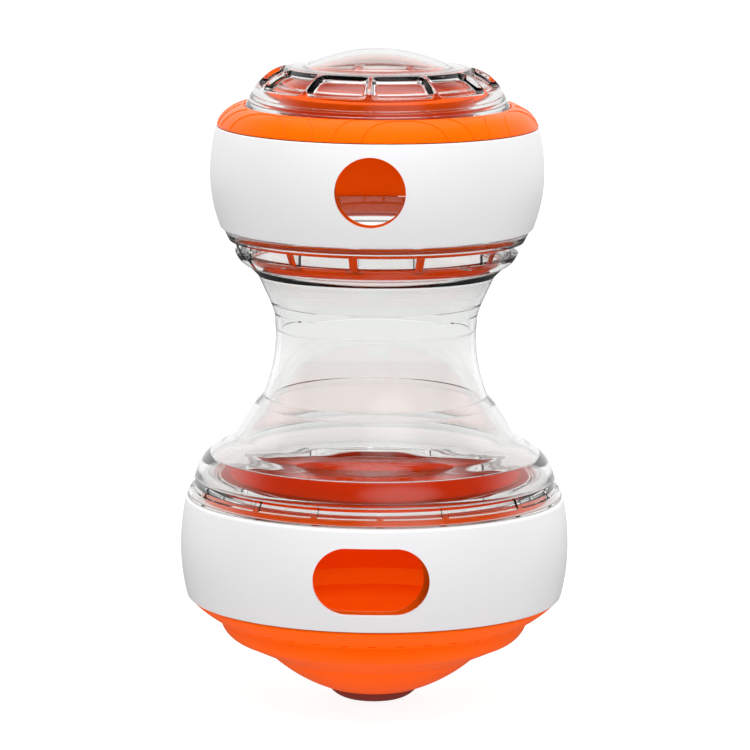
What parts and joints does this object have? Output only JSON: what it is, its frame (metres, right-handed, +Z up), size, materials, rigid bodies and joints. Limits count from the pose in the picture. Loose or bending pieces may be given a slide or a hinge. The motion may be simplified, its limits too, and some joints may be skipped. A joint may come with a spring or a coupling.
{
  "type": "treat dispenser",
  "caption": "Weighted hourglass treat dispenser on a small foot, with drums whose bands turn over their outlets, a clear screwed neck between them and a clear screwed lid.",
  "frame": {"origin": "centre of the foot's flat face, on the surface the object stands on", "axes": "+Z up along the axis of the drums; the outlets face -Y, +X to the right seen from the front"},
  "size_m": [0.15, 0.1492, 0.2532],
  "materials": {
    "orange_plastic": "glossy moulded",
    "white_plastic": "satin moulded",
    "clear_plastic": "clear moulded",
    "foot_rubber": "satin",
    "seal_rubber": "matte silicone",
    "steel": "plain"
  },
  "bodies": {
    "base": {"base_bowl": "orange_plastic", "foot_pad": "foot_rubber", "ballast_weight": "steel", "ballast_cover": "orange_plastic", "cover_screws": "steel"},
    "lower_band_body": {"lower_band": "white_plastic"},
    "lower_seal_body": {"lower_seal": "seal_rubber"},
    "neck_body": {"neck": "clear_plastic", "upper_funnel": "clear_plastic"},
    "upper_seal_body": {"upper_seal": "seal_rubber"},
    "upper_drum_body": {"upper_drum": "orange_plastic"},
    "upper_band_body": {"upper_band": "white_plastic"},
    "lid_seal_body": {"lid_seal": "seal_rubber"},
    "lid_body": {"lid": "clear_plastic"}
  },
  "joints": [
    {"name": "lower_band_turn", "type": "hinge", "parent": "base", "child": "lower_band_body", "pos_m": [0, 0, 0.06], "axis": [0, 0, 1], "continuous": true},
    {"name": "neck_lift", "type": "slide", "parent": "base", "child": "lower_seal_body", "axis": [0, 0, 1], "range_m": [0, 0.012]},
    {"name": "neck_turn", "type": "hinge", "parent": "lower_seal_body", "child": "neck_body", "pos_m": [0, 0, 0.083], "axis": [0, 0, 1], "range_deg": [0, 120]},
    {"name": "upper_drum_lift", "type": "slide", "parent": "neck_body", "child": "upper_seal_body", "axis": [0, 0, 1], "range_m": [0, 0.008]},
    {"name": "upper_drum_turn", "type": "hinge", "parent": "upper_seal_body", "child": "upper_drum_body", "pos_m": [0, 0, 0.186], "axis": [0, 0, 1], "range_deg": [0, 90]},
    {"name": "upper_band_turn", "type": "hinge", "parent": "upper_drum_body", "child": "upper_band_body", "pos_m": [0, 0, 0.204], "axis": [0, 0, 1], "continuous": true},
    {"name": "lid_lift", "type": "slide", "parent": "upper_drum_body", "child": "lid_seal_body", "axis": [0, 0, 1], "range_m": [0, 0.006]},
    {"name": "lid_turn", "type": "hinge", "parent": "lid_seal_body", "child": "lid_body", "pos_m": [0, 0, 0.233], "axis": [0, 0, 1], "range_deg": [0, 90]}
  ],
  "couplings": [
    {"joint": "neck_lift", "follows": "neck_turn", "m_per_rad": 0.0057},
    {"joint": "upper_drum_lift", "follows": "upper_drum_turn", "m_per_rad": 0.005},
    {"joint": "lid_lift", "follows": "lid_turn", "m_per_rad": 0.0038}
  ]
}
